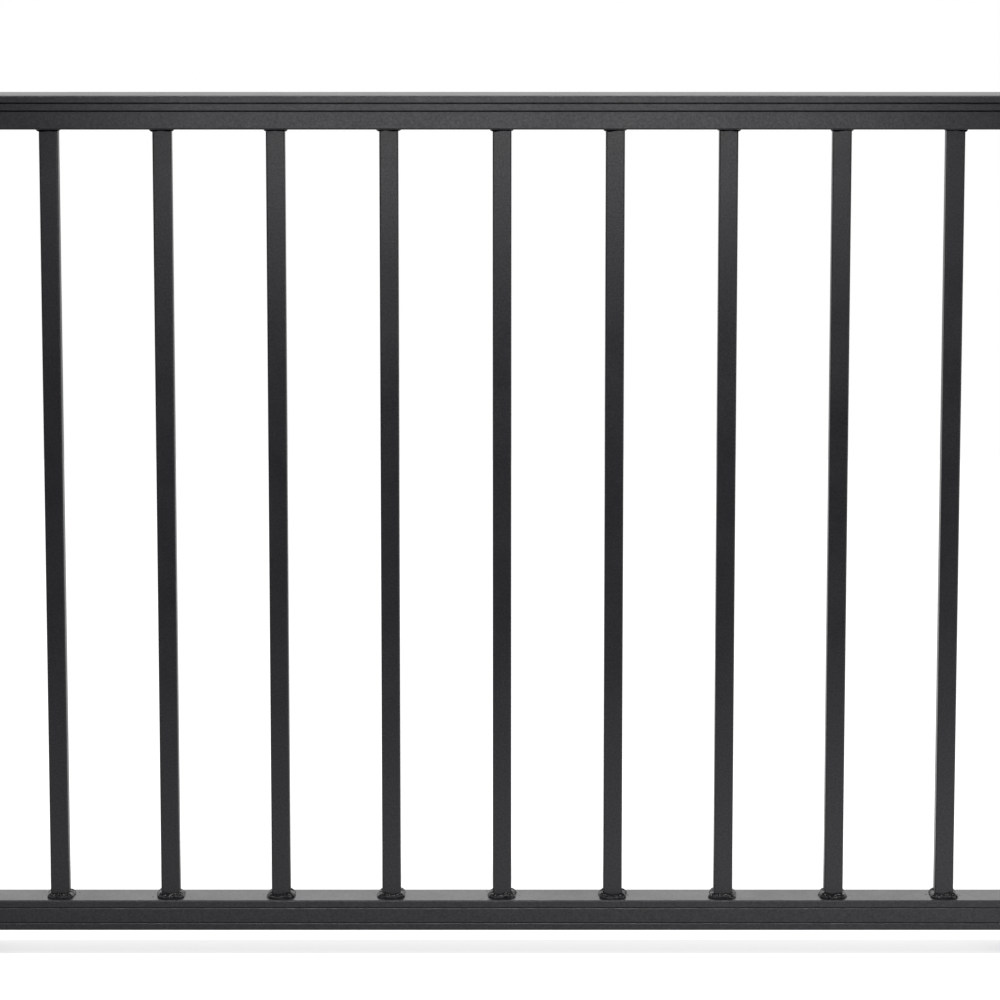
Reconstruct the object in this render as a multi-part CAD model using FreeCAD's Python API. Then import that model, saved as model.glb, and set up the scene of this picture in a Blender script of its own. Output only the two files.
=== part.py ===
import FreeCAD, Part
import math
import os

# A welded steel railing section for a deck: two rolled tube rails, nine square tube
# balusters between them, a weld bead round every joint, and a screw flange on each
# of the four rail ends.
#
# Frame, in millimetres: the origin is the middle of the outer face of the lower left
# flange, +X runs along the rails, the seen side faces -Y and +Z is up.

# Whole section
PANEL_HEIGHT = 863.6
BALUSTER_COUNT = 9
BALUSTER_PITCH = 114.3
END_GAP = 76.2

# Rails, which are rolled tubes with two lengthwise grooves in both sides. Their corners
# are as round outside as the wall is thick, which leaves them sharp inside
RAIL_DEPTH = 44.45
TOP_RAIL_HEIGHT = 34.3
BOTTOM_RAIL_HEIGHT = 31.75
RAIL_WALL = 1.6
RAIL_CORNER = RAIL_WALL

# Each groove is pressed in with sloping walls: its width at the lips, its depth, the
# width of its floor, and how far its middle lies below the upper edge of its rail. The
# top rail's are deep and narrow, and the bottom rail's are shallow and come to a point
TOP_GROOVE = (1.8, 3.4, 0.3)
TOP_GROOVE_DROPS = (7.6, 15.5)
BOTTOM_GROOVE = (1.6, 0.8, 0.0)
BOTTOM_GROOVE_DROPS = (8.0, 24.0)

# Balusters, which are square tubes butted against the rails, close to sharp inside
BALUSTER_SIDE = 19.05
BALUSTER_WALL = 1.2
BALUSTER_CORNER = 1.6

# Weld beads: the leg lies along the surface that carries the tube, the throat
# climbs the tube, and the crown is how far a bead swells past a straight line
FOOT_WELD_LEG = 4.6
FOOT_WELD_THROAT = 5.0
FOOT_WELD_CROWN = 0.35
HEAD_WELD_LEG = 3.2
HEAD_WELD_THROAT = 3.0
FLANGE_WELD_LEG = 4.6
FLANGE_WELD_THROAT = 4.6

# Screw flanges on the rail ends: the border is how far a flange reaches past the front
# and back of its rail, which leaves room for the bead
FLANGE_THICKNESS = 5.0
FLANGE_HEIGHT = 84.0
FLANGE_BORDER = 6.35
FLANGE_CORNER = 5.0
FLANGE_CHAMFER = 0.6
SCREW_HOLE = 7.0
SCREW_SPACING = 60.0

# Places that follow from the sizes
RAIL_LENGTH = (BALUSTER_COUNT - 1) * BALUSTER_PITCH + 2 * END_GAP
RAIL_START = FLANGE_THICKNESS
RAIL_END = RAIL_START + RAIL_LENGTH
PANEL_FLOOR = -BOTTOM_RAIL_HEIGHT / 2
FOOT_LEVEL = PANEL_FLOOR + BOTTOM_RAIL_HEIGHT
PANEL_TOP = PANEL_FLOOR + PANEL_HEIGHT
HEAD_LEVEL = PANEL_TOP - TOP_RAIL_HEIGHT
TOP_RAIL_MIDDLE = PANEL_TOP - TOP_RAIL_HEIGHT / 2
BOTTOM_RAIL_MIDDLE = PANEL_FLOOR + BOTTOM_RAIL_HEIGHT / 2

UP = FreeCAD.Vector(0, 0, 1)
# The kind of corner that an offset outline gets where it opens: sharp, not an arc
SHARP_JOINS = 2
# Turns a shape drawn flat, across X and up Y, so that it stands across Y and up Z
# and its own +Z runs along the rails
ALONG_RAILS = FreeCAD.Rotation(FreeCAD.Vector(1, 1, 1), 120)


def point(x, y, z=0.0):
    return FreeCAD.Vector(x, y, z)


def line(start, end):
    return Part.LineSegment(start, end).toShape()


def corner_arc(centre_x, centre_y, radius, first_angle):
    """A quarter turn, anticlockwise from first_angle in degrees."""
    spots = []
    for angle in (first_angle, first_angle + 45, first_angle + 90):
        turn = math.radians(angle)
        spots.append(point(centre_x + radius * math.cos(turn), centre_y + radius * math.sin(turn)))
    return Part.Arc(*spots).toShape()


def groove(side, x, middle_y, width, depth, floor):
    """One groove in the upright side at x, from lip to lip: a wall that slopes inward, a
    floor unless the groove comes to a point, and a wall that slopes back out."""
    spots = [point(x, middle_y - side * width / 2), point(x - side * depth, middle_y - side * floor / 2)]
    if floor:
        spots.append(point(x - side * depth, middle_y + side * floor / 2))
    spots.append(point(x, middle_y + side * width / 2))
    return spots


def upright_side(side, x, half_straight, grooves):
    """An upright side from one corner to the other. side is +1 for the right, going
    up, and -1 for the left, going down."""
    spots = [point(x, -side * half_straight)]
    for middle_y, shape in sorted(grooves, reverse=side < 0):
        spots.extend(groove(side, x, middle_y, *shape))
    spots.append(point(x, side * half_straight))
    return [line(start, end) for start, end in zip(spots, spots[1:])]


def outline(width, height, corner, grooves=()):
    """A rounded rectangle about the origin, with grooves in both upright sides."""
    half_width = width / 2
    half_height = height / 2
    inner_x = half_width - corner
    inner_y = half_height - corner
    edges = upright_side(1, half_width, inner_y, grooves)
    edges.append(corner_arc(inner_x, inner_y, corner, 0))
    edges.append(line(point(inner_x, half_height), point(-inner_x, half_height)))
    edges.append(corner_arc(-inner_x, inner_y, corner, 90))
    edges.extend(upright_side(-1, -half_width, inner_y, grooves))
    edges.append(corner_arc(-inner_x, -inner_y, corner, 180))
    edges.append(line(point(-inner_x, -half_height), point(inner_x, -half_height)))
    edges.append(corner_arc(inner_x, -inner_y, corner, 270))
    return Part.Wire(edges)


def rectangle(width, height):
    """A rectangle about the origin with sharp corners."""
    corners = [point(x * width / 2, y * height / 2) for x, y in ((-1, -1), (1, -1), (1, 1), (-1, 1))]
    return Part.makePolygon(corners + corners[:1])


def tube(outside, inside, length):
    """The wall between two outlines that were drawn flat, raised along +Z."""
    ring = Part.Face(outside).cut(Part.Face(inside)).Faces[0]
    return ring.extrude(UP * length)


def stand(shape, x, z):
    """Turns a shape that was drawn flat to run along the rails, from x at height z."""
    shape.Placement = FreeCAD.Placement(point(x, 0, z), ALONG_RAILS).multiply(shape.Placement)
    return shape


def rail(height, middle_z, groove_shape, drops):
    """One rail: its groove middles are measured down from its upper edge, and its inner
    outline follows the grooves one wall thickness further in, with sharp corners."""
    grooves = [(height / 2 - drop, groove_shape) for drop in drops]
    outside = outline(RAIL_DEPTH, height, RAIL_CORNER, grooves)
    bar = tube(outside, outside.makeOffset2D(-RAIL_WALL, SHARP_JOINS), RAIL_LENGTH)
    return stand(bar, RAIL_START, middle_z)


def baluster_x(number):
    return RAIL_START + END_GAP + number * BALUSTER_PITCH


def baluster(number):
    """One upright tube, from the top of the bottom rail to the underside of the top rail."""
    bore = BALUSTER_SIDE - 2 * BALUSTER_WALL
    outside = outline(BALUSTER_SIDE, BALUSTER_SIDE, BALUSTER_CORNER)
    bar = tube(outside, rectangle(bore, bore), HEAD_LEVEL - FOOT_LEVEL)
    bar.translate(point(baluster_x(number), 0, FOOT_LEVEL))
    return bar


def bead_section(reach, leg, throat, crown):
    """The bead cut through, in the upright plane of +X: a foot along z = 0, a face
    against the tube at x = reach, and an outer face that swells by crown."""
    root = point(reach, 0)
    toe = point(reach + leg, 0)
    top = point(reach, 0, throat)
    outer = line(toe, top)
    if crown:
        swell = (toe + top) * 0.5 + point(throat, 0, leg) * (crown / math.hypot(leg, throat))
        outer = Part.Arc(toe, swell, top).toShape()
    return Part.Face(Part.Wire([line(root, toe), outer, line(top, root)]))


def weld_bead(width, height, corner, leg, throat, crown=0):
    """A closed fillet bead round a rounded tube that stands on the plane z = 0: a
    straight run on each side and a quarter turn round each corner."""
    runs = []
    for quarter in range(4):
        reach, side = (width / 2, height) if quarter % 2 == 0 else (height / 2, width)
        half_straight = side / 2 - corner
        run = bead_section(reach, leg, throat, crown)
        run.translate(point(0, -half_straight))
        run = run.extrude(point(0, 2 * half_straight))
        turn = bead_section(corner, leg, throat, crown).revolve(point(0, 0), UP, 90)
        turn.translate(point(reach - corner, half_straight))
        for piece in (run, turn):
            piece.rotate(point(0, 0), UP, 90 * quarter)
            runs.append(piece)
    return runs[0].fuse(runs[1:]).removeSplitter().Solids[0]


def baluster_welds(number):
    """The two beads of one baluster: the thick one at its foot, and the thin one at
    its head, upside down under the top rail."""
    around = (BALUSTER_SIDE, BALUSTER_SIDE, BALUSTER_CORNER)
    foot = weld_bead(*around, FOOT_WELD_LEG, FOOT_WELD_THROAT, FOOT_WELD_CROWN)
    head = weld_bead(*around, HEAD_WELD_LEG, HEAD_WELD_THROAT)
    foot.translate(point(baluster_x(number), 0, FOOT_LEVEL))
    head.rotate(point(0, 0), point(1, 0), 180)
    head.translate(point(baluster_x(number), 0, HEAD_LEVEL))
    return Part.makeCompound([foot, head])


def flange(is_left, rail_middle):
    """A rounded plate with two screw holes, one above and one below its rail. A small
    chamfer breaks the rims of both its faces."""
    edge = outline(RAIL_DEPTH + 2 * FLANGE_BORDER, FLANGE_HEIGHT, FLANGE_CORNER)
    plate = Part.Face(edge).extrude(UP * FLANGE_THICKNESS)
    rims = [rim for rim in plate.Edges if rim.BoundBox.ZLength < FLANGE_THICKNESS / 2]
    plate = plate.makeChamfer(FLANGE_CHAMFER, rims)
    for side in (-1, 1):
        hole_middle = point(0, side * SCREW_SPACING / 2)
        plate = plate.cut(Part.makeCylinder(SCREW_HOLE / 2, FLANGE_THICKNESS, hole_middle))
    return stand(plate.Solids[0], 0.0 if is_left else RAIL_END, rail_middle)


def flange_bead(is_left, rail_height, rail_middle):
    """The bead that joins one rail end to the inner face of its flange."""
    bead = weld_bead(RAIL_DEPTH, rail_height, RAIL_CORNER, FLANGE_WELD_LEG, FLANGE_WELD_THROAT)
    if is_left:
        return stand(bead, RAIL_START, rail_middle)
    bead.rotate(point(0, 0), point(0, 1), 180)
    return stand(bead, RAIL_END, rail_middle)


def flange_welds(is_left):
    """The two beads at one end of the section, round the top and the bottom rail."""
    top = flange_bead(is_left, TOP_RAIL_HEIGHT, TOP_RAIL_MIDDLE)
    bottom = flange_bead(is_left, BOTTOM_RAIL_HEIGHT, BOTTOM_RAIL_MIDDLE)
    return Part.makeCompound([top, bottom])


def railing_section():
    """Every piece by its name."""
    pieces = {
        "top_rail": rail(TOP_RAIL_HEIGHT, TOP_RAIL_MIDDLE, TOP_GROOVE, TOP_GROOVE_DROPS),
        "bottom_rail": rail(BOTTOM_RAIL_HEIGHT, BOTTOM_RAIL_MIDDLE, BOTTOM_GROOVE, BOTTOM_GROOVE_DROPS),
    }
    for number in range(BALUSTER_COUNT):
        label = "%02d" % (number + 1)
        pieces["baluster_" + label] = baluster(number)
        pieces["baluster_welds_" + label] = baluster_welds(number)
    for side in ("left", "right"):
        is_left = side == "left"
        pieces["flange_top_" + side] = flange(is_left, TOP_RAIL_MIDDLE)
        pieces["flange_bottom_" + side] = flange(is_left, BOTTOM_RAIL_MIDDLE)
        pieces["flange_welds_" + side] = flange_welds(is_left)
    return pieces


os.makedirs("parts", exist_ok=True)
for name, shape in railing_section().items():
    shape.exportStep("parts/" + name + ".step")
    print(name, "valid", shape.isValid(), "volume", round(shape.Volume, 1))
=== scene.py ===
# %% [markdown]
# # A welded steel railing section
# The railing is two rolled tube rails with nine square tube balusters between them,
# a weld bead round every joint and a screw flange on each rail end, all under one
# satin black powder coat. The tubes and the flanges arrive as a finished frame, with
# their true sizes. This lesson adds what a welder and a coating line leave behind:
# lumpy, rippled beads with spatter beside them, and a coat with a fine grain.

import math

import bpy
import numpy as np
from mathutils import Euler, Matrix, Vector


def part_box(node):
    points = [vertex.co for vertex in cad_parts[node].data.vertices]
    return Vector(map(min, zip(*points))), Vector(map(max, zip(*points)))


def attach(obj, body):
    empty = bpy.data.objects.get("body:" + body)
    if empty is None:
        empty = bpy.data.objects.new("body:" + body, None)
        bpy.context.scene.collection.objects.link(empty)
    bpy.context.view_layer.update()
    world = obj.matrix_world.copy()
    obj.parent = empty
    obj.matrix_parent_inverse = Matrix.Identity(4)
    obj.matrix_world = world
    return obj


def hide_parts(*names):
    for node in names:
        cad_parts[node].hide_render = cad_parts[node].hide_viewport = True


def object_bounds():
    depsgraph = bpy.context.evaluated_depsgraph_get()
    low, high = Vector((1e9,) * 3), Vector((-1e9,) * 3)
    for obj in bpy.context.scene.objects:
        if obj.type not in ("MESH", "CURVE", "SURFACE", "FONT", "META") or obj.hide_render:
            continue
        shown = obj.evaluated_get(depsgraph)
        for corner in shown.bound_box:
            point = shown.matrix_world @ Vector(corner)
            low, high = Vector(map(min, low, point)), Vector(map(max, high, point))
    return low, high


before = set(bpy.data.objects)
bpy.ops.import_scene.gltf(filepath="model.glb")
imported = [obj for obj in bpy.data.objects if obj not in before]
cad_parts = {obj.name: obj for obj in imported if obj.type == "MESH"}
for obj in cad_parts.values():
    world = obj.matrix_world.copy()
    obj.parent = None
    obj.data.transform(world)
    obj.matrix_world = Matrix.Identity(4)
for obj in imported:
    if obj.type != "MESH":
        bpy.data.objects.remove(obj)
cad_low, cad_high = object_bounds()
MM = 0.001
print("tubes, flanges and plain beads:", len(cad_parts), "pieces")

# %% [markdown]
# ## Where things are
# The frame's pieces say where the rails, the balusters and the flanges are, so no place
# is typed twice. A box is the lowest and the highest corner of a piece, in metres.

# %% Places read from the frame
top_rail_low, top_rail_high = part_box("top_rail")
bottom_rail_low, bottom_rail_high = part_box("bottom_rail")
BALUSTER_NUMBERS = range(1, 10)
BALUSTER_X = {}
for number in BALUSTER_NUMBERS:
    low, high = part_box(f"baluster_{number:02d}")
    BALUSTER_X[number] = (low.x + high.x) / 2
FOOT_LEVEL = bottom_rail_high.z
HEAD_LEVEL = top_rail_low.z
RAIL_HALF_DEPTH = top_rail_high.y
first_low, first_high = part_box("baluster_01")
BALUSTER_HALF = (first_high.x - first_low.x) / 2
print("rail length", round(top_rail_high.x - top_rail_low.x, 4))
print("feet at", round(FOOT_LEVEL, 5), "heads at", round(HEAD_LEVEL, 5))

# %% [markdown]
# ## The camera
# A product photograph of a railing is taken from well back, with a long lens, so that
# the balusters stay nearly parallel. This camera stands 4.5 m in front of it and
# 0.4 m above it and looks down by 9 degrees. Its film is shifted down a little, which
# moves the picture without leaning the uprights, as more turning would do.

# %% The camera
SENSOR_WIDTH = 36.0
FOCAL_PIXELS = 4472.7
PICTURE_PIXELS = 1000
CAMERA_SPOT = (0.5363, -4.5, 1.2476)
CAMERA_PITCH = 8.995
CAMERA_SHIFT = -0.10
CLIP_NEAR, CLIP_FAR = 0.1, 100.0

lens = bpy.data.cameras.new("railing_camera")
lens.sensor_width = SENSOR_WIDTH
lens.lens = FOCAL_PIXELS / PICTURE_PIXELS * SENSOR_WIDTH
lens.shift_y = CAMERA_SHIFT
lens.clip_start, lens.clip_end = CLIP_NEAR, CLIP_FAR
camera = bpy.data.objects.new("railing_camera", lens)
camera.location = CAMERA_SPOT
camera.rotation_euler = Euler((math.radians(90 - CAMERA_PITCH), 0, 0))
bpy.context.scene.collection.objects.link(camera)
bpy.context.scene.camera = camera
bpy.context.scene.view_settings.view_transform = "Standard"
print("lens", round(lens.lens, 2), "mm")

# %% [markdown]
# ## Helpers for node trees
# A material is a chain of small machines. These helpers add one machine, join two, and
# give the three sums that the recipes below need, so that each recipe reads like the
# formula that it stands for. A value may be a plain number or the output of a machine.

# %% Helpers for node trees
def add_node(tree, kind, **settings):
    """One node, with its inputs set by name and its other settings as attributes."""
    node = tree.nodes.new(kind)
    for name, value in settings.items():
        if name in node.bl_rna.properties:
            setattr(node, name, value)
        else:
            node.inputs[name.replace("_", " ")].default_value = value
    return node


def join(tree, source, target):
    """A link from one output socket to one input socket."""
    tree.links.new(source, target)


def feed(tree, value, target):
    """Sets an input to a number, or links it to an output."""
    if isinstance(value, (int, float)):
        target.default_value = value
    else:
        join(tree, value, target)


def maths(tree, operation, first, second):
    """The sum, product or larger of two values."""
    node = add_node(tree, "ShaderNodeMath", operation=operation)
    feed(tree, first, node.inputs[0])
    feed(tree, second, node.inputs[1])
    return node.outputs[0]


def blend(tree, factor, low, high):
    """low where factor is 0 and high where it is 1: low + factor * (high - low)."""
    node = add_node(tree, "ShaderNodeMix", data_type="FLOAT")
    join(tree, factor, node.inputs["Factor"])
    feed(tree, low, node.inputs["A"])
    feed(tree, high, node.inputs["B"])
    return node.outputs["Result"]


def ramp(tree, value, start, end, low, high, kind="SMOOTHSTEP"):
    """low up to start, high from end on, and a smooth or straight climb between."""
    node = add_node(
        tree,
        "ShaderNodeMapRange",
        interpolation_type=kind,
        From_Min=start,
        From_Max=end,
        To_Min=low,
        To_Max=high,
    )
    join(tree, value, node.inputs["Value"])
    return node.outputs["Result"]


# %% [markdown]
# ## The studio
# A satin black coat shows little of its own colour: what is seen is mostly the room
# mirrored in it. The rails' tops, seen at a low angle, mirror the white wall behind and
# turn grey. The upright faces mirror the dim part of the room in front. The welds mirror
# the ceiling, which is dark but for its lamp, so they look black with bright glints. The
# world is therefore plain white to the camera, an even soft light for the colour, and
# this room for the gloss, written as a function of the direction that a ray leaves in:
# how far backwards it goes, from -1 to 1, and how far up.

# %% The world
WHITE = (1, 1, 1, 1)
SOFT_LIGHT = 0.60
DIM_SIDE = 0.07
DIM_SIDE_ENDS = (-0.45, 0.15)
SKYLINE = (0.02, 0.30)
WALL_FOOT, WALL_HEAD = 0.60, 1.50
WALL_RISE = (0.08, 0.24)
CEILING = 0.10
CEILING_EDGE = (0.45, 0.85)

world = bpy.data.worlds.new("white_studio")
bpy.context.scene.world = world
world.use_nodes = True
tree = world.node_tree
tree.nodes.clear()
look = add_node(tree, "ShaderNodeTexCoord")
parts = add_node(tree, "ShaderNodeSeparateXYZ")
join(tree, look.outputs["Generated"], parts.inputs[0])
backward, upward = parts.outputs["Y"], parts.outputs["Z"]
behind = ramp(tree, backward, *DIM_SIDE_ENDS, 0.0, 1.0)
above = ramp(tree, upward, *SKYLINE, 0.0, 1.0)
lit = maths(tree, "MAXIMUM", behind, above)
wall = ramp(tree, upward, *WALL_RISE, WALL_FOOT, WALL_HEAD)
shade = ramp(tree, upward, *CEILING_EDGE, 1.0, CEILING)
room = blend(tree, lit, DIM_SIDE, maths(tree, "MULTIPLY", wall, shade))
ray = add_node(tree, "ShaderNodeLightPath").outputs
seen = maths(tree, "MAXIMUM", ray["Is Camera Ray"], ray["Is Transmission Ray"])
level = blend(tree, seen, blend(tree, ray["Is Glossy Ray"], SOFT_LIGHT, room), 1.0)
sky = add_node(tree, "ShaderNodeBackground", Color=WHITE)
join(tree, level, sky.inputs["Strength"])
join(tree, sky.outputs[0], add_node(tree, "ShaderNodeOutputWorld").inputs[0])
print("world: soft light", SOFT_LIGHT, "dim side", DIM_SIDE)

# %% [markdown]
# ## The floor
# The railing stands on the lower ends of its flanges, on a flat sheet of white paper
# that ends about a metre in front of it. To the camera the paper is lifted to white and
# keeps the faint shadow under the bottom rail. To the gloss the paper is a painted pool
# of light, brighter to the right, which greys the balusters' feet, with painted shade
# right under the railing, so the undersides of the beads go black.

# %% The floor
FLOOR_DROP = 0.3 * MM
FLOOR_LEVEL = cad_low.z - FLOOR_DROP
SHEET_FRONT = -1.02
SHEET_BACK = 3.0
SHEET_REACH = 1.6
SHEET_COLUMNS, SHEET_ROWS = 40, 30
PAPER = (0.8, 0.8, 0.8, 1)
FLOOR_LIFT = 0.60
# A painted pool of light and painted shade, seen only by the gloss: its strength at the
# left and right, in the shade, and where the shade begins, is deepest and ends, in metres.
POOL_LEFT, POOL_RIGHT = 0.66, 1.2
POOL_SHADE = 0.10
SHADE_FRONT, SHADE_MIDDLE, SHADE_BACK = -0.20, 0.08, 0.50


def grid_mesh(points, close_u, close_v):
    """A surface on a grid: points[i, j] is joined to its neighbours i + 1 and j + 1 by
    one four-sided face, round again from the last to the first where it is closed."""
    count_u, count_v = points.shape[:2]
    i = np.arange(count_u if close_u else count_u - 1)[:, None]
    j = np.arange(count_v if close_v else count_v - 1)[None, :]
    i_next, j_next = (i + 1) % count_u, (j + 1) % count_v
    near, far = i * count_v, i_next * count_v
    corners = [near + j, far + j, far + j_next, near + j_next]
    faces = np.stack(np.broadcast_arrays(*corners), axis=-1).reshape(-1, 4)
    return points.reshape(-1, 3), faces


def put_mesh(name, verts, faces):
    """A smooth mesh object from whole arrays of points and four-cornered faces. A face
    that names the same point twice is a triangle, and is written as one."""
    mesh = bpy.data.meshes.new(name)
    corners = [list(dict.fromkeys(face)) for face in faces.tolist()]
    mesh.from_pydata(verts.tolist(), [], corners)
    mesh.polygons.foreach_set("use_smooth", np.full(len(mesh.polygons), True))
    mesh.validate()
    thing = bpy.data.objects.new(name, mesh)
    bpy.context.scene.collection.objects.link(thing)
    return thing


sheet_ends = cad_low.x - SHEET_REACH, cad_high.x + SHEET_REACH
sheet_x = np.linspace(*sheet_ends, SHEET_COLUMNS)[:, None]
sheet_y = np.linspace(SHEET_FRONT, SHEET_BACK, SHEET_ROWS)[None, :]
sheet = np.stack(np.broadcast_arrays(sheet_x, sheet_y, FLOOR_LEVEL), axis=-1)
floor = put_mesh("floor", *grid_mesh(sheet, False, False))

paper = bpy.data.materials.new("white_paper")
paper.use_nodes = True
tree = paper.node_tree
tree.nodes.clear()
ray = add_node(tree, "ShaderNodeLightPath").outputs
where = add_node(tree, "ShaderNodeTexCoord").outputs["Object"]
spot = add_node(tree, "ShaderNodeSeparateXYZ")
join(tree, where, spot.inputs[0])
# The painted pool of light: brighter to the right, with painted shade under the railing.
across = ramp(
    tree, spot.outputs["X"], cad_low.x, cad_high.x, POOL_LEFT, POOL_RIGHT, "LINEAR"
)
before = ramp(tree, spot.outputs["Y"], SHADE_FRONT, SHADE_MIDDLE, 1.0, POOL_SHADE)
after = ramp(tree, spot.outputs["Y"], SHADE_MIDDLE, SHADE_BACK, POOL_SHADE, 1.0)
along = maths(tree, "MAXIMUM", before, after)
pool = add_node(tree, "ShaderNodeEmission", Color=WHITE)
join(tree, maths(tree, "MULTIPLY", across, along), pool.inputs["Strength"])

seen = maths(tree, "MAXIMUM", ray["Is Camera Ray"], ray["Is Transmission Ray"])
glow = add_node(tree, "ShaderNodeEmission", Color=WHITE)
join(tree, maths(tree, "MULTIPLY", seen, FLOOR_LIFT), glow.inputs["Strength"])
dull = add_node(tree, "ShaderNodeBsdfDiffuse", Color=PAPER)
plain = add_node(tree, "ShaderNodeAddShader")
join(tree, dull.outputs[0], plain.inputs[0])
join(tree, glow.outputs[0], plain.inputs[1])
look = add_node(tree, "ShaderNodeMixShader")
join(tree, ray["Is Glossy Ray"], look.inputs["Fac"])
join(tree, plain.outputs[0], look.inputs[1])
join(tree, pool.outputs[0], look.inputs[2])
join(tree, look.outputs[0], add_node(tree, "ShaderNodeOutputMaterial").inputs["Surface"])
floor.data.materials.append(paper)
print("floor at", round(FLOOR_LEVEL, 4))

# %% [markdown]
# ## The lamps
# A strip light hangs close in front of the top rail, a little right of its middle. It is
# near, so its light falls off fast, and the balusters go from grey at the top to black
# half way down. A long narrow lamp overhead puts the glints on the beads and the light
# lines on the lower lips of the grooves, and a small weak one low at the right lifts the
# lower right. Each lamp is given by its place, the point that it faces, its width and
# height in metres, and its power in watts.

# %% The lamps
LAMPS = {
    "strip_light": ((0.56, -1.1, 0.78), (0.56, 0.0, 0.80), (1.0, 0.3), 2.65),
    "overhead_light": ((0.54, -0.6, 2.6), (0.54, 0.0, 0.4), (1.6, 0.15), 26.0),
    "low_light": ((1.9, -1.0, 0.3), (0.9, 0.0, 0.0), (0.6, 0.6), 3.0),
}


def softbox(name, spot, target, size, power):
    """A rectangular lamp at spot that faces target."""
    lamp = bpy.data.lights.new(name, "AREA")
    lamp.shape = "RECTANGLE"
    lamp.size, lamp.size_y = size
    lamp.energy = power
    thing = bpy.data.objects.new(name, lamp)
    thing.location = spot
    aim = Vector(target) - Vector(spot)
    thing.rotation_euler = aim.to_track_quat("-Z", "Y").to_euler()
    thing.visible_camera = False
    bpy.context.scene.collection.objects.link(thing)


for name, facts in LAMPS.items():
    softbox(name, *facts)
print("lamps:", ", ".join(LAMPS))

# %% [markdown]
# ## The powder coat
# Powder coat is sprayed on dry and baked, so the grains melt into a skin with a fine
# orange-peel grain that scatters the light. Its colour hardly changes, and what the eye
# reads is gloss: patches a hand wide that are a little duller, and grains of one to two
# millimetres that mirror a little more or less. Noise on the object's own coordinates
# gives both, and it stays put on the steel from every side. The grain is too small for
# geometry, so it is bump.

# %% The powder coat
# The spread of one noise, and of the sum of two
ONE_NOISE, TWO_NOISES = (0.3, 0.7), (0.7, 1.3)
COAT_IOR = 1.5
PATCHES_PER_METRE = 14.0
FLECKS_PER_METRE = 220.0
SPECKS_PER_METRE = 520.0

COAT_GLOSS = (0.28, 0.37)
COAT_SPECKS = (0.37, 0.63)
COAT_GRAIN = 0.03 * MM
COAT_GRAINS_PER_METRE = 600.0
COAT_TONES = ((0.0095, 0.0095, 0.0120, 1), (0.0135, 0.0135, 0.0165, 1))


def coat(
    name, tones, gloss_range, mirror_range, grain_depth, grain_scale, painted_shade=None
):
    """A satin black coat: two near tones in soft patches, a roughness between the two
    ends of gloss_range, specks that mirror between the two ends of mirror_range, and a
    grain of grain_depth metres at grain_scale per metre. The last argument gives painted
    shade: from the tree and a height, the share of colour and mirror that is left there."""
    material = bpy.data.materials.new(name)
    material.use_nodes = True
    tree = material.node_tree
    shader = tree.nodes["Principled BSDF"]
    shader.inputs["IOR"].default_value = COAT_IOR
    where = add_node(tree, "ShaderNodeTexCoord").outputs["Object"]

    def noise(scale, detail, roughness):
        """Cloudy numbers from about 0.3 to 0.7, in clouds of about 1 / scale metres."""
        node = add_node(
            tree, "ShaderNodeTexNoise", Scale=scale, Detail=detail, Roughness=roughness
        )
        join(tree, where, node.inputs["Vector"])
        return node.outputs["Fac"]

    patches = noise(PATCHES_PER_METRE, 3.0, 0.6)
    tone = add_node(tree, "ShaderNodeMix", data_type="RGBA")
    tone.inputs["A"].default_value, tone.inputs["B"].default_value = tones
    join(tree, patches, tone.inputs["Factor"])
    colour = tone.outputs["Result"]

    flecks = noise(FLECKS_PER_METRE, 4.0, 0.65)
    mixed = maths(tree, "ADD", patches, flecks)
    rough = ramp(tree, mixed, *TWO_NOISES, *gloss_range, "LINEAR")
    join(tree, rough, shader.inputs["Roughness"])

    specks = noise(SPECKS_PER_METRE, 2.0, 0.6)
    mirror = ramp(tree, specks, *ONE_NOISE, *mirror_range, "LINEAR")
    # Painted shade: the colour and the mirror are scaled down by the given share.
    if painted_shade:
        spot = add_node(tree, "ShaderNodeSeparateXYZ")
        join(tree, where, spot.inputs[0])
        share = painted_shade(tree, spot.outputs["Z"])
        mirror = maths(tree, "MULTIPLY", mirror, share)
        shaded_colour = add_node(tree, "ShaderNodeMix", data_type="RGBA")
        shaded_colour.inputs["A"].default_value = (0, 0, 0, 1)
        join(tree, share, shaded_colour.inputs["Factor"])
        join(tree, colour, shaded_colour.inputs["B"])
        colour = shaded_colour.outputs["Result"]
    join(tree, mirror, shader.inputs["Specular IOR Level"])
    join(tree, colour, shader.inputs["Base Color"])

    bump = add_node(tree, "ShaderNodeBump", Strength=1.0, Distance=grain_depth)
    join(tree, noise(grain_scale, 3.0, 0.55), bump.inputs["Height"])
    join(tree, bump.outputs["Normal"], shader.inputs["Normal"])
    return material


powder_coat = coat(
    "satin_black_powder_coat",
    COAT_TONES,
    COAT_GLOSS,
    COAT_SPECKS,
    COAT_GRAIN,
    COAT_GRAINS_PER_METRE,
)
print("coat on", powder_coat.name)

# %% [markdown]
# ## The coat on the welds
# Over a bead the powder flows off the ridges and pools between them, so it bakes
# smoother and glossier than on the flat tube. The recipe is the same with less grain,
# and with specks from no mirror at all to a full one, which are the glints. The beads
# under the top rail are the exception: there painted shade darkens their colour and
# their mirror to a small share, in place of the rail's own shade, so they read as a black
# line.

# %% The coat on the welds
WELD_TONES = ((0.0075, 0.0077, 0.0082, 1), (0.0110, 0.0112, 0.0118, 1))
WELD_GLOSS = (0.12, 0.24)
WELD_SPECKS = (0.0, 0.48)
WELD_GRAIN = 0.012 * MM
WELD_GRAINS_PER_METRE = 900.0
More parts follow.
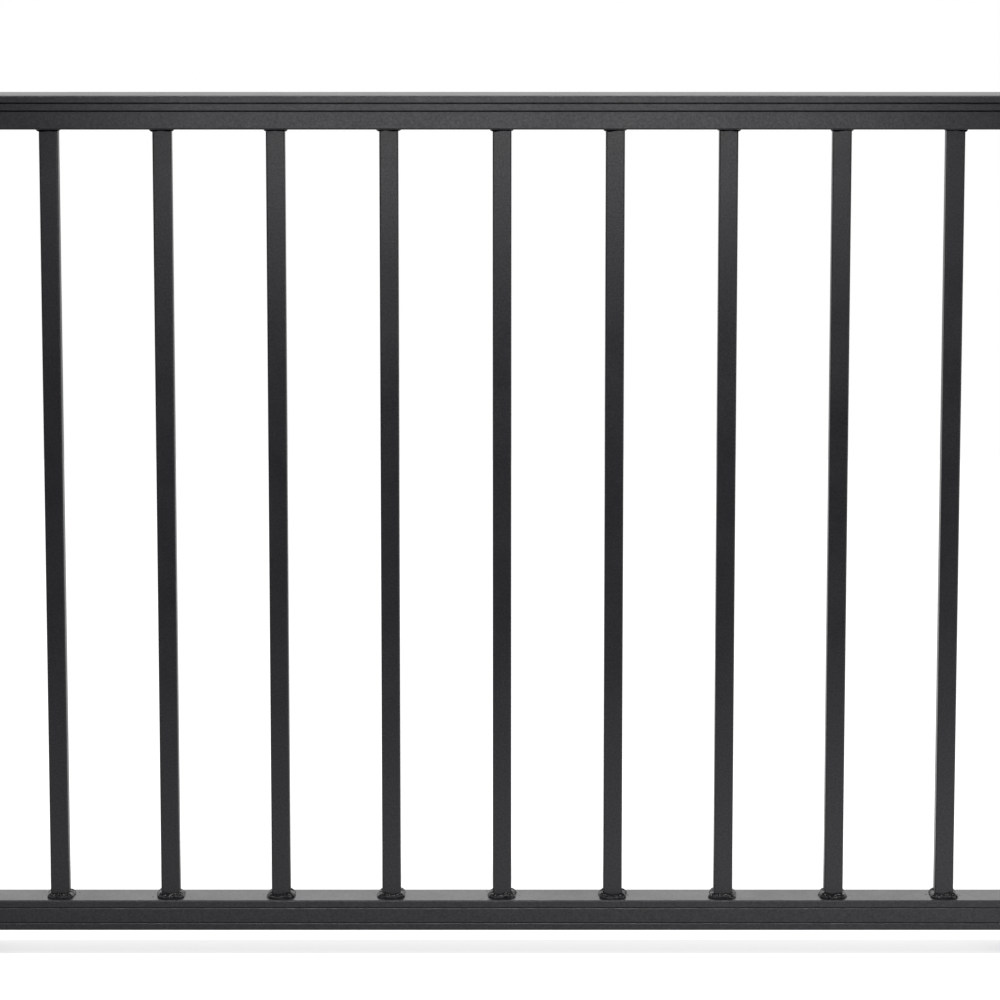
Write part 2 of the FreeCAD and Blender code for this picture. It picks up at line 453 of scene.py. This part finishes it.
# Painted shade under the top rail: the share of colour and mirror left there, and the
# heights over which it fades in below the rail and out beside it.
PAINTED_SHADE_SHARE = 0.12
PAINTED_SHADE_BELOW = HEAD_LEVEL - 10 * MM, HEAD_LEVEL - 5 * MM
PAINTED_SHADE_BESIDE = HEAD_LEVEL, HEAD_LEVEL + 2.5 * MM


def painted_shade_under_rail(tree, height):
    """Painted shade under the top rail: 1, but only a small share in the corner just under
    the rail, with a smooth change below and beside it."""
    below = ramp(tree, height, *PAINTED_SHADE_BELOW, 1.0, PAINTED_SHADE_SHARE)
    beside = ramp(tree, height, *PAINTED_SHADE_BESIDE, PAINTED_SHADE_SHARE, 1.0)
    return maths(tree, "MAXIMUM", below, beside)


weld_coat = coat(
    "glossy_black_over_welds",
    WELD_TONES,
    WELD_GLOSS,
    WELD_SPECKS,
    WELD_GRAIN,
    WELD_GRAINS_PER_METRE,
    painted_shade_under_rail,
)
print("coat on", weld_coat.name)

# %% [markdown]
# ## Coat the frame
# Every tube and flange keeps its own mesh and gets the new coat in each material slot.

# %% Coat the frame
for name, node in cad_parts.items():
    finish = weld_coat if "weld" in name else powder_coat
    if not node.data.materials:
        node.data.materials.append(finish)
    for place in range(len(node.material_slots)):
        node.material_slots[place].material = finish
print("coated", len(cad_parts), "pieces")

# %% [markdown]
# ## A random wave that closes on itself
# A hand-laid bead is never even: its width and height drift along the joint. A sum of a
# few sine waves whose periods fit the lap a whole number of times drifts like that, and
# meets itself without a step. The numbers come from a seeded generator, so every run
# makes the same railing.

# %% A random wave that closes on itself
def closed_wave(lap, seed, lowest, highest):
    """The sum of sine waves that go lowest to highest times round the lap (0 to 1), each
    with a random phase and strength, scaled to a spread of one."""
    random = np.random.default_rng(seed)
    turns = np.arange(lowest, highest + 1)
    strength = random.normal(0, 1, len(turns)) / np.sqrt(turns)
    phase = random.uniform(0, 2 * math.pi, len(turns))
    wave = (strength * np.sin(2 * math.pi * turns * lap[..., None] + phase)).sum(axis=-1)
    return wave / max(wave.std(), 1e-9)


# %% [markdown]
# ## The line round a tube
# The outline of a rounded tube could be four lines and four arcs, each with its own
# code. It is easier to walk it: a point goes round a sharp inner rectangle, stops at
# each corner, and turns there by a quarter. Its place and its heading are both straight
# lines between nine marks, so interpolating between them gives the whole outline.

# %% The line round a tube
def walk_round(half_width, half_depth, corner, spread, count):
    """Returns the inner point, the heading and the share of the lap for count steps round
    a rounded tube. The steps are even at the distance spread from the tube's surface. An
    outline point at any distance d is inner + (corner + d) * (cos heading, sin heading)."""
    in_x, in_y = half_width - corner, half_depth - corner
    turn = (corner + spread) * math.pi / 2
    stretch = np.array([0, 2 * in_y, turn, 2 * in_x, turn, 2 * in_y, turn, 2 * in_x, turn])
    marks = np.cumsum(stretch)
    mark_x = np.array([in_x, in_x, in_x, -in_x, -in_x, -in_x, -in_x, in_x, in_x])
    mark_y = np.array([-in_y, in_y, in_y, in_y, in_y, -in_y, -in_y, -in_y, -in_y])
    mark_heading = np.array([0, 0, 1, 1, 2, 2, 3, 3, 4]) * math.pi / 2
    lap = np.arange(count) / count
    gone = lap * marks[-1]
    inner_x, inner_y = np.interp(gone, marks, mark_x), np.interp(gone, marks, mark_y)
    inner = np.stack([inner_x, inner_y], axis=-1)
    return inner, np.interp(gone, marks, mark_heading), lap, marks[-1]


# %% [markdown]
# ## A weld bead
# A bead is a fillet of melted wire. Cut through, it is a rounded wedge between the tube
# and the surface that carries it. Along the joint it is a row of overlapping scales, one
# for each pause of the welder's hand, with a sharp dip between two scales. So the bead is
# one wedge carried round the tube: its width and height follow closed waves, and the
# scales are the top halves of a sine wave, with crests that bend back in the middle.

# %% A weld bead
# The wedge: the exponent that rounds it, how much higher it is at a tube's corners, how
# unevenly it is laid, how far past a quarter turn its face runs, in radians, and how
# deep it is sunk in the steel
FULLNESS = 1.1
CORNER_RISE = 0.18
UNEVEN = 0.13
FACE_OVERRUN = 0.06
BEAD_SINK = 0.25 * MM
# The scales: their spacing and depth, how far their crests bend back and wander, in
# scales, and about the mean of |sin|, so that on the whole they add nothing
SCALE_PITCH = 2.3 * MM
SCALE_DEPTH = 0.20 * MM
SCALE_BOW = 0.55
SCALE_DRIFT = 0.35
RIDGE_MEAN = 0.6


def swell(lap, seed, turns, quick_share):
    """1 + UNEVEN * (a slow closed wave of up to so many turns + a share of a quick one)."""
    slow = closed_wave(lap, seed, 1, turns)
    quick = closed_wave(lap, seed + 1, 6, 22)
    return 1 + UNEVEN * slow + quick_share * UNEVEN * quick


def bead_surface(half_width, half_depth, corner, leg, throat, seed, count, rows):
    """Points on a grid, round the tube and across the bead, as (across, along, height).

    Across the bead, the outer face is leg * cos(t)^f out from the tube and throat *
    sin(t)^f up, for t from 0 to a quarter turn, with f the FULLNESS. Three more points
    close the loop a little way inside the steel. At the corners of the tube the throat is
    more by CORNER_RISE * sin(2 * bearing)^2. The scales move the face outwards by depth *
    (|sin(pi * steps)| - RIDGE_MEAN), where steps counts the scales round the joint. count
    is the number of points round the joint, and rows the number across the face."""
    inner, heading, lap, length = walk_round(half_width, half_depth, corner, leg / 2, count)
    bearing = np.arctan2(inner[:, 1] / half_depth, inner[:, 0] / half_width)
    rise = 1 + CORNER_RISE * np.sin(2 * bearing) ** 2
    wide = leg * swell(lap, seed, 5, 0.35)
    tall = throat * rise * swell(lap, seed + 2, 6, 0.3)
    t = np.linspace(-FACE_OVERRUN, math.pi / 2 + FACE_OVERRUN, rows)[None, :]
    cos_t, sin_t = np.clip(np.cos(t), 0, 1), np.clip(np.sin(t), 0, 1)
    out = wide[:, None] * cos_t**FULLNESS
    up = tall[:, None] * sin_t**FULLNESS

    scales = round(length / SCALE_PITCH)
    drift = SCALE_DRIFT * closed_wave(lap, seed + 4, 1, 7)[:, None]
    middle = np.sin(2 * t.clip(0, math.pi / 2))
    steps = scales * lap[:, None] + drift + SCALE_BOW * middle
    depth = SCALE_DEPTH * (1 + SCALE_DRIFT * closed_wave(lap, seed + 5, 3, 16)[:, None])
    ridge = depth * middle * (np.abs(np.sin(math.pi * steps)) - RIDGE_MEAN)
    out = out + ridge * sin_t
    up = up + ridge * cos_t

    sunk_toe = np.stack([out[:, 0], np.full(count, -BEAD_SINK)], axis=-1)
    inside = np.full((count, 1, 2), -BEAD_SINK)
    sunk_top = np.stack([np.full(count, -BEAD_SINK), up[:, -1]], axis=-1)
    face = np.stack([out, up], axis=-1)
    loop = np.concatenate([face, sunk_top[:, None], inside, sunk_toe[:, None]], axis=1)
    outwards = np.stack([np.cos(heading), np.sin(heading)], axis=-1)[:, None]
    reach = (corner + loop[..., :1]) * outwards
    return np.concatenate([inner[:, None] + reach, loop[..., 1:]], axis=-1)


# %% [markdown]
# ## Spatter
# Welding throws off droplets that freeze on the steel nearby and are coated over. Each
# is a small flattened ball, half sunk, so the two angles of a ball are the parameters,
# and one array holds all the balls of a joint. Their radii and their distances from the
# bead are in millimetres.

# %% Spatter
# They lie on a square ring round the bead with its corners cut: DROP_CUT is 1 for a
# round ring and 0.7 for a whole square
DROP_CUT = 0.8
DROP_HEIGHT = 0.7
DROP_SIDES = 10
DROP_BANDS = 7
DROP_COUNT = (3, 7)
DROP_SIZE = (0.25, 0.6)
DROP_DISTANCE = (0.4, 5.0)
DROP_MARGIN = 3 * MM


def droplets(centres, sizes):
    """Closed balls about centres: radius * (sin a * cos b, sin a * sin b, DROP_HEIGHT *
    cos a), where a goes from pole to pole and b goes round. Each pole is one point."""
    a = np.linspace(0, math.pi, DROP_BANDS + 1)[1:-1][:, None]
    b = np.linspace(0, 2 * math.pi, DROP_SIDES, endpoint=False)[None, :]
    level = np.broadcast_to(DROP_HEIGHT * np.cos(a), (DROP_BANDS - 1, DROP_SIDES))
    rings = np.stack([np.sin(a) * np.cos(b), np.sin(a) * np.sin(b), level], axis=-1)
    ring_points, belt = grid_mesh(rings, False, True)
    ball = np.concatenate([ring_points, [[0, 0, DROP_HEIGHT], [0, 0, -DROP_HEIGHT]]])

    north, south = np.full((2, DROP_SIDES), [[len(ball) - 2], [len(ball) - 1]])
    side = np.arange(DROP_SIDES)
    side_next = (side + 1) % DROP_SIDES
    last = len(ring_points) - DROP_SIDES
    north_fan = np.stack([north, side, side_next, north], axis=-1)
    south_fan = np.stack([south, last + side_next, last + side, south], axis=-1)
    faces = np.concatenate([belt, north_fan, south_fan])
    verts = centres[:, None] + sizes[:, None, None] * ball[None]
    shift = np.arange(len(centres))[:, None, None] * len(ball)
    return verts.reshape(-1, 3), (faces[None] + shift).reshape(-1, 4)


# %% [markdown]
# ## Turning a surface the right way out
# A bead that is mirrored, as under the top rail, comes out with its inside showing. The
# volume inside a closed surface is the sum of the little pyramids from the origin to its
# faces, and it is negative when the surface is inside out, so its sign says what to do.

# %% Turning a surface the right way out
def inside_volume(verts, faces):
    """A sixth of the sum of p0 . (p1 x p2) over both triangles of every face."""
    p = verts[faces] - verts.mean(axis=0)
    first = np.einsum("ij,ij->i", p[:, 0], np.cross(p[:, 1], p[:, 2]))
    second = np.einsum("ij,ij->i", p[:, 0], np.cross(p[:, 2], p[:, 3]))
    return (first + second).sum() / 6


def right_way_out(verts, faces):
    """The faces, each read backwards if the surface is inside out."""
    return faces if inside_volume(verts, faces) > 0 else faces[:, ::-1]


def gather(surfaces):
    """Several surfaces as one list of points and faces."""
    starts = np.cumsum([0] + [len(verts) for verts, _ in surfaces[:-1]])
    verts = np.concatenate([verts for verts, _ in surfaces])
    faces = np.concatenate([faces + start for (_, faces), start in zip(surfaces, starts)])
    return verts, faces


# %% [markdown]
# ## The beads of each baluster
# The bead at the foot is thick, because it carries the baluster and the rain runs off
# it. The one at the head is thin and sits in the corner under the top rail. Both stand
# for the plain bead of the frame, in the same place, and no two joints are alike.

# %% The beads of each baluster
TUBE_CORNER = 1.6 * MM
TUBE = (BALUSTER_HALF, BALUSTER_HALF, TUBE_CORNER)
FOOT_LEG, FOOT_THROAT = 4.5 * MM, 4.0 * MM
HEAD_LEG, HEAD_THROAT = 2.9 * MM, 2.3 * MM
FOOT_GRID, HEAD_GRID = (300, 15), (220, 10)


def place_bead(points, start, across, along, up):
    """A bead's (across, along, height) grid carried to start and turned, so that its
    three directions become the vectors across, along and up."""
    placed = start + points @ np.stack([across, along, up])
    verts, faces = grid_mesh(placed, True, True)
    return verts, right_way_out(verts, faces)


X_WAY, Y_WAY, Z_WAY = np.eye(3)
bead_pieces = []
for number in BALUSTER_NUMBERS:
    middle = BALUSTER_X[number]
    seed = 100 * number
    foot = bead_surface(*TUBE, FOOT_LEG, FOOT_THROAT, seed, *FOOT_GRID)
    head = bead_surface(*TUBE, HEAD_LEG, HEAD_THROAT, seed + 50, *HEAD_GRID)
    surfaces = [
        place_bead(foot, np.array([middle, 0, FOOT_LEVEL]), X_WAY, Y_WAY, Z_WAY),
        place_bead(head, np.array([middle, 0, HEAD_LEVEL]), X_WAY, Y_WAY, -Z_WAY),
    ]
    random = np.random.default_rng(seed + 90)
    many = random.integers(*DROP_COUNT)
    bearing = random.uniform(0, 2 * math.pi, many)
    off = BALUSTER_HALF + FOOT_LEG + random.uniform(*DROP_DISTANCE, many) * MM
    square = np.maximum(np.abs(np.cos(bearing)), np.abs(np.sin(bearing)))
    reach = off / np.maximum(square, DROP_CUT)
    limit = RAIL_HALF_DEPTH - DROP_MARGIN
    spot_x = middle + reach * np.cos(bearing)
    spot_y = (reach * np.sin(bearing)).clip(-limit, limit)
    spots = np.stack([spot_x, spot_y, np.full(many, FOOT_LEVEL)], axis=-1)
    surfaces.append(droplets(spots, random.uniform(*DROP_SIZE, many) * MM))
    beads = put_mesh(f"weld_beads_{number:02d}", *gather(surfaces))
    beads.data.materials.append(weld_coat)
    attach(beads, "root")
    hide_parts(f"baluster_welds_{number:02d}")
    bead_pieces.append(beads)
print("beads on", len(bead_pieces), "balusters")
print("faces on the first:", len(bead_pieces[0].data.polygons))

# %% [markdown]
# ## The beads of each rail end
# The same bead goes round the end of each rail, against the inner face of its flange.
# The wedge now stands on an upright plate, so across is the depth of the rail, along is
# its height, and the bead's own height points away from the flange.

# %% The beads of each rail end
RAIL_BEAD_LEG, RAIL_BEAD_THROAT = 4.3 * MM, 4.2 * MM
RAIL_CORNER = 1.6 * MM
RAIL_GRID = (460, 14)
rail_levels = [(top_rail_low.z, top_rail_high.z), (bottom_rail_low.z, bottom_rail_high.z)]
rail_ends = {
    "left": (top_rail_low.x, X_WAY, 2000),
    "right": (top_rail_high.x, -X_WAY, 2500),
}
for side, (plate_x, away, side_seed) in rail_ends.items():
    surfaces = []
    for order, (low, high) in enumerate(rail_levels):
        tube = (RAIL_HALF_DEPTH, (high - low) / 2, RAIL_CORNER)
        seed = side_seed + 250 * order
        ring = bead_surface(*tube, RAIL_BEAD_LEG, RAIL_BEAD_THROAT, seed, *RAIL_GRID)
        start = np.array([plate_x, 0, (low + high) / 2])
        surfaces.append(place_bead(ring, start, Y_WAY, Z_WAY, away))
    beads = put_mesh(f"rail_end_beads_{side}", *gather(surfaces))
    beads.data.materials.append(weld_coat)
    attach(beads, "root")
    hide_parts(f"flange_welds_{side}")
    bead_pieces.append(beads)
bead_faces = [face for piece in bead_pieces for face in piece.data.polygons]
print("triangles in all the beads:", sum(len(face.vertices) - 2 for face in bead_faces))
